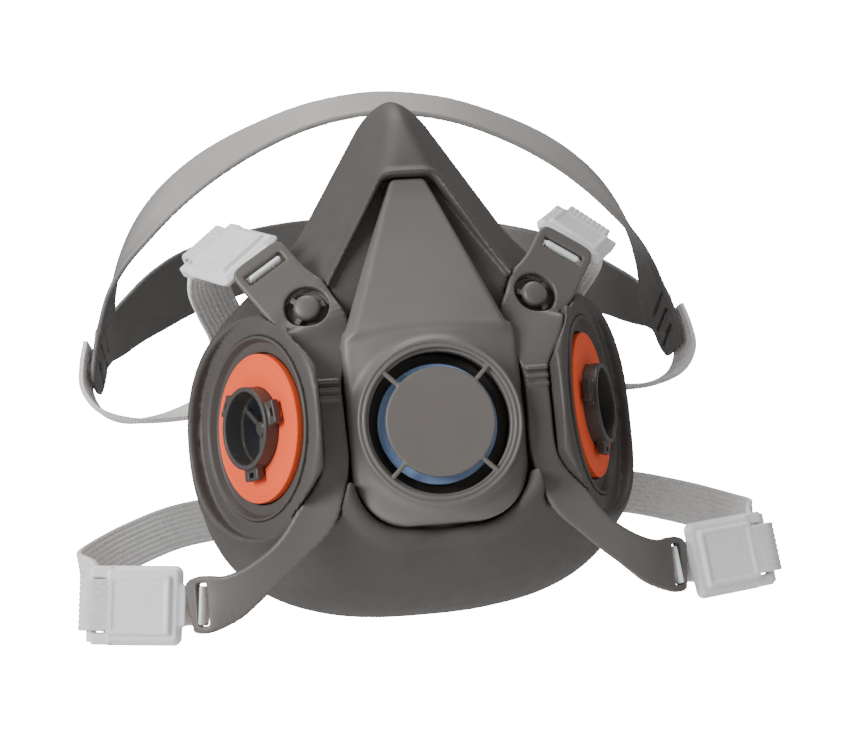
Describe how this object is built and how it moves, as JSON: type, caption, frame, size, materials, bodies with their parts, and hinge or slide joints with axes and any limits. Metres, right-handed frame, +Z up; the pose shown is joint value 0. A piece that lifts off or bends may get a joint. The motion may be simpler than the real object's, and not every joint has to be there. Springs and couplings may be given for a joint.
{
  "type": "half mask respirator",
  "caption": "Reusable half-mask respirator with two side filter ports, a front exhalation valve, strap buckles and a head cradle.",
  "frame": {"origin": "point on the exhalation valve's axis in the mean plane of the face seal, which is the mount face_seal", "axes": "+X to the wearer's left, +Y from the mask towards the wearer's face, +Z up"},
  "size_m": [0.1918, 0.145, 0.1586],
  "materials": {
    "facepiece_rubber": "satin moulded elastomer",
    "frame_plastic": "satin moulded plastic",
    "port_plastic": "satin moulded plastic",
    "cradle_plastic": "satin moulded plastic",
    "gasket_rubber": "matte silicone rubber",
    "valve_silicone": "soft silicone",
    "buckle_plastic": "translucent moulded plastic",
    "webbing": "ribbed knitted elastic"
  },
  "bodies": {
    "root": {"facepiece": "facepiece_rubber", "valve_seat": "frame_plastic", "front_cover": "frame_plastic", "yoke_arm_left": "frame_plastic", "yoke_arm_right": "frame_plastic", "arm_peg_left": "frame_plastic", "arm_peg_right": "frame_plastic", "port_left": "port_plastic", "port_right": "port_plastic", "port_gasket_left": "gasket_rubber", "port_gasket_right": "gasket_rubber", "head_strap_left": "webbing", "head_strap_right": "webbing", "neck_strap_left": "webbing", "neck_strap_right": "webbing", "neck_clasp_loop": "buckle_plastic"},
    "exhalation_valve": {"exhalation_valve": "valve_silicone"},
    "inhalation_valve_left": {"inhalation_valve_left": "valve_silicone"},
    "inhalation_valve_right": {"inhalation_valve_right": "valve_silicone"},
    "buckle_upper_left": {"buckle_upper_left": "buckle_plastic"},
    "buckle_upper_right": {"buckle_upper_right": "buckle_plastic"},
    "buckle_lower_left": {"buckle_lower_left": "buckle_plastic"},
    "buckle_lower_right": {"buckle_lower_right": "buckle_plastic"},
    "cradle": {"cradle": "cradle_plastic"},
    "neck_clasp_hook": {"neck_clasp_hook": "buckle_plastic"}
  },
  "joints": [
    {"name": "exhalation_lift", "type": "slide", "parent": "root", "child": "exhalation_valve", "axis": [0, -1, 0], "range_m": [0, 0.0015], "stiffness_N_per_m": 40},
    {"name": "inhalation_lift_left", "type": "slide", "parent": "root", "child": "inhalation_valve_left", "axis": [-0.891, 0.454, 0], "range_m": [0, 0.0015], "stiffness_N_per_m": 40},
    {"name": "inhalation_lift_right", "type": "slide", "parent": "root", "child": "inhalation_valve_right", "axis": [0.891, 0.454, 0], "range_m": [0, 0.0015], "stiffness_N_per_m": 40},
    {"name": "buckle_upper_hinge_left", "type": "hinge", "parent": "root", "child": "buckle_upper_left", "pos_m": [0.04244, -0.04367, 0.04881], "axis": [0.8367, 0.03, -0.5468], "range_deg": [-20, 30], "deforming": ["head_strap_left"]},
    {"name": "buckle_lower_hinge_left", "type": "hinge", "parent": "root", "child": "buckle_lower_left", "pos_m": [0.06609, -0.04148, -0.0414], "axis": [0.1024, 0.0007, -0.9947], "range_deg": [-30, 20], "deforming": ["neck_strap_left"]},
    {"name": "buckle_upper_hinge_right", "type": "hinge", "parent": "root", "child": "buckle_upper_right", "pos_m": [-0.04244, -0.04367, 0.04881], "axis": [0.8367, -0.03, 0.5468], "range_deg": [-20, 30], "deforming": ["head_strap_right"]},
    {"name": "buckle_lower_hinge_right", "type": "hinge", "parent": "root", "child": "buckle_lower_right", "pos_m": [-0.06609, -0.04148, -0.0414], "axis": [0.1024, -0.0007, 0.9947], "range_deg": [-30, 20], "deforming": ["neck_strap_right"]},
    {"name": "cradle_swing", "type": "hinge", "parent": "root", "child": "cradle", "pos_m": [0, -0.026, 0.056], "axis": [1, 0, 0], "range_deg": [-20, 8], "deforming": ["head_strap_left", "head_strap_right"]},
    {"name": "neck_clasp_release", "type": "slide", "parent": "root", "child": "neck_clasp_hook", "axis": [0, 1, 0], "range_m": [0, 0.012], "deforming": ["neck_strap_left"]}
  ]
}
